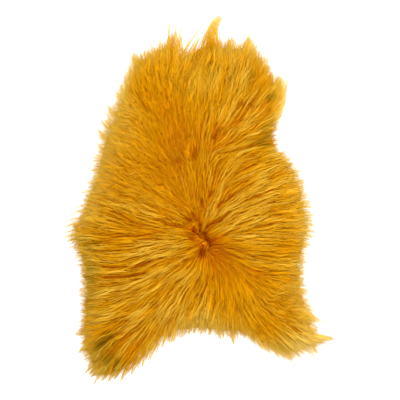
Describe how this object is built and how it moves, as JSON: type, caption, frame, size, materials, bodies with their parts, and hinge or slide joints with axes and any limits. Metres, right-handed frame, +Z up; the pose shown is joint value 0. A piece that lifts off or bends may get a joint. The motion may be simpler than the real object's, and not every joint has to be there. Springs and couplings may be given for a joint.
{
  "type": "sheepskin rug",
  "caption": "Natural sheepskin rug with long mustard-dyed wool lying flat: a thick shaggy pile that radiates from a whorl to a ragged edge.",
  "frame": {"origin": "under the middle of the rug's bounding box, on the flat underside that lies on the floor", "axes": "+Z up out of the wool, +Y from the hind legs towards the neck, +X towards the right flank seen from above with the neck at the top"},
  "size_m": [0.7, 0.95, 0.0498],
  "materials": {
    "wool": "long dyed wool locks, soft and matt with a faint silky sheen"
  },
  "bodies": {
    "root": {"sheepskin": "wool"}
  },
  "joints": []
}
